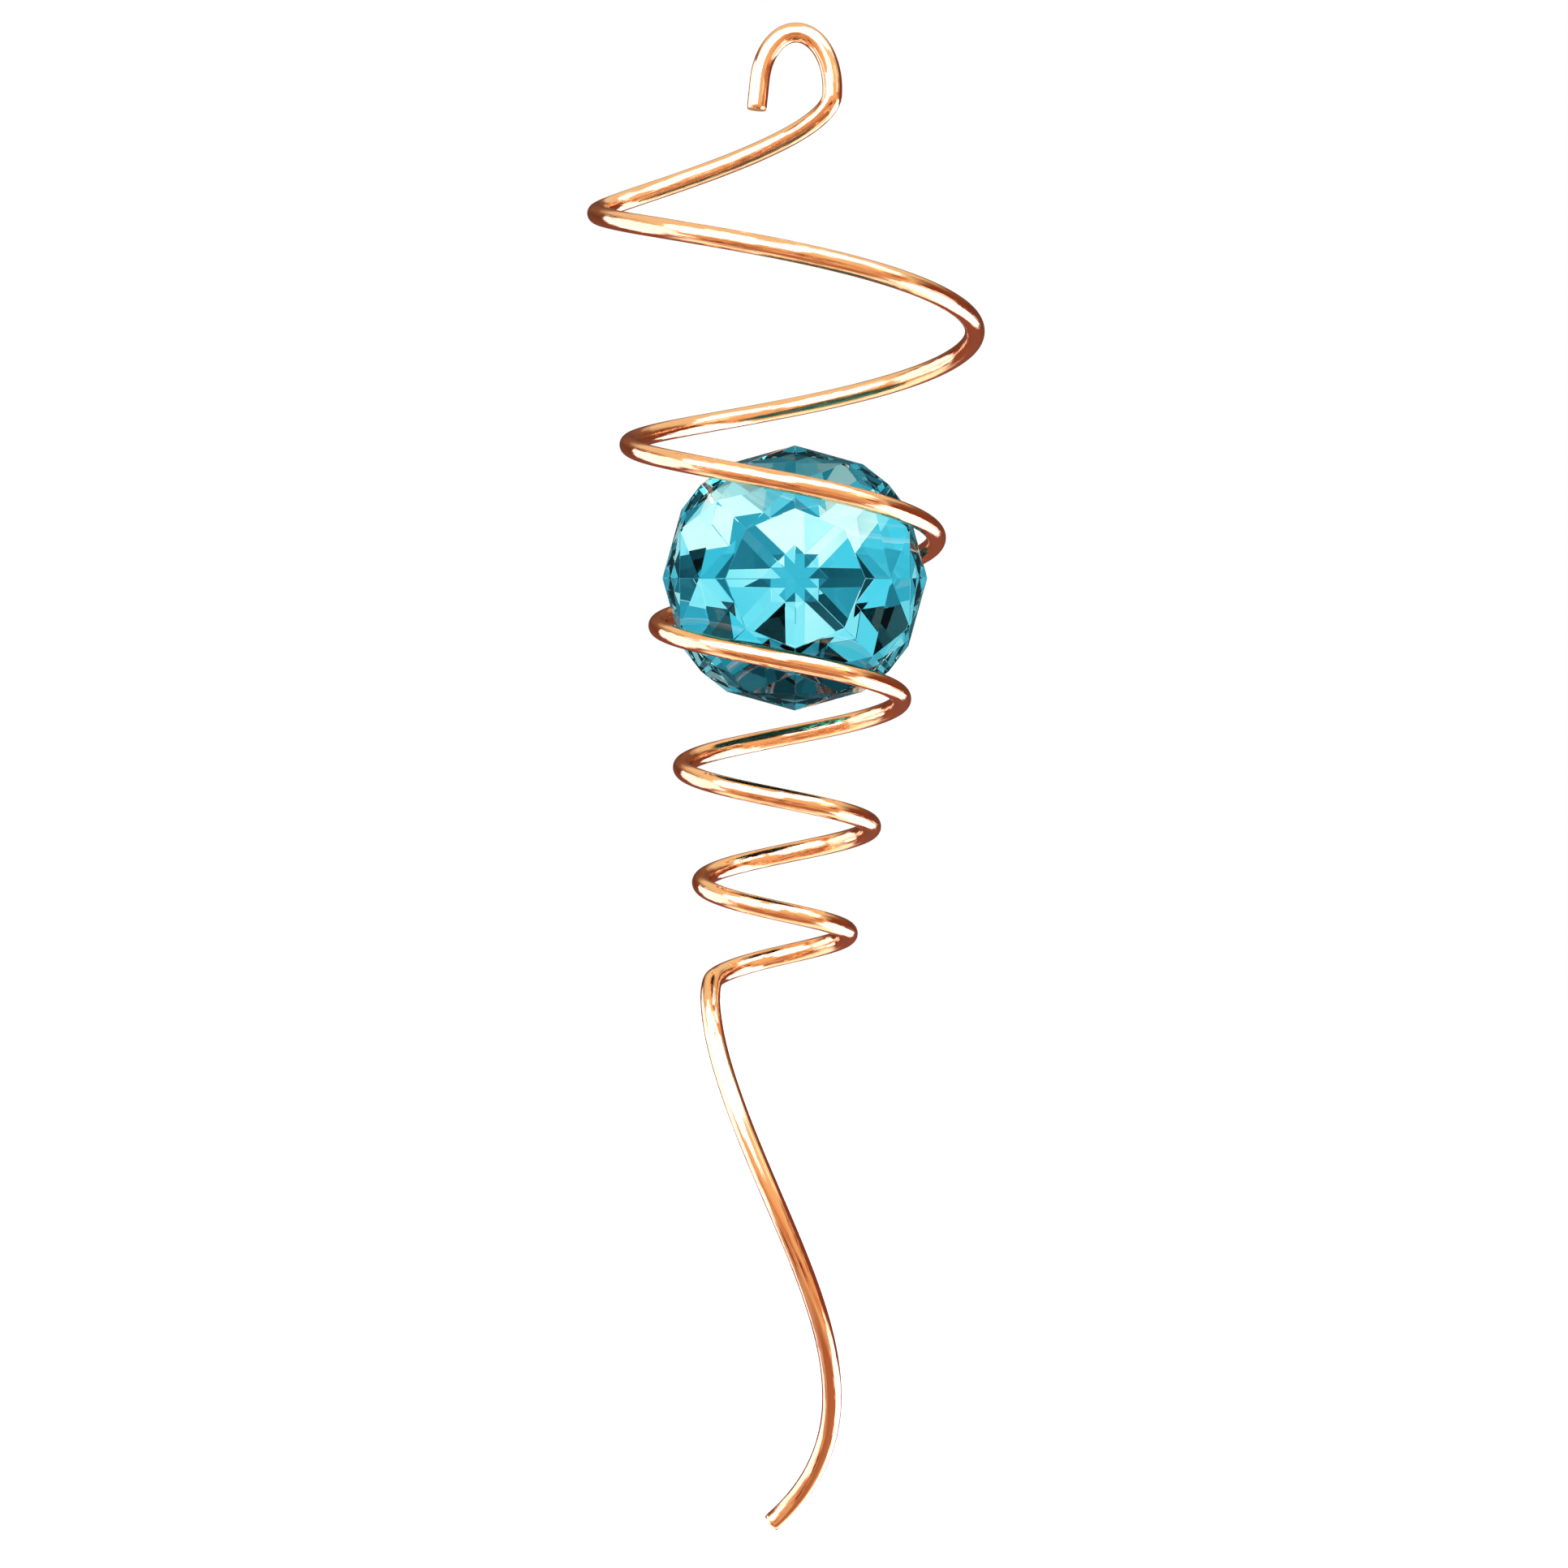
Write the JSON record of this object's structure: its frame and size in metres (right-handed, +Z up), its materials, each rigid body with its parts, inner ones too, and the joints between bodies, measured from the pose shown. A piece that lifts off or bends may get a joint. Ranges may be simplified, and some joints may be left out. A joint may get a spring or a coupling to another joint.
{
  "type": "wind spinner",
  "caption": "Copper-coloured wire bent into an open hook, a tapering coil and a drawn-out tail, with a faceted glass ball resting loose inside; hangs and turns in the wind.",
  "frame": {"origin": "inside top of the hook, the point that bears on whatever the spinner hangs from", "axes": "+Z up along the hang, +X to the right and +Y away from the viewer; the hook's bend lies in the XZ plane"},
  "size_m": [0.0751, 0.072, 0.2872],
  "materials": {
    "copper": "mirror-polished copper colour",
    "aqua_glass": "clear aqua glass, cut and polished"
  },
  "bodies": {
    "spiral": {"spiral_wire": "copper"},
    "ball": {"crystal_ball": "aqua_glass"}
  },
  "joints": [
    {"name": "ball_spin", "type": "hinge", "parent": "spiral", "child": "ball", "pos_m": [-0.0002, -0.0012, -0.1013], "axis": [0, 0, 1], "continuous": true}
  ]
}
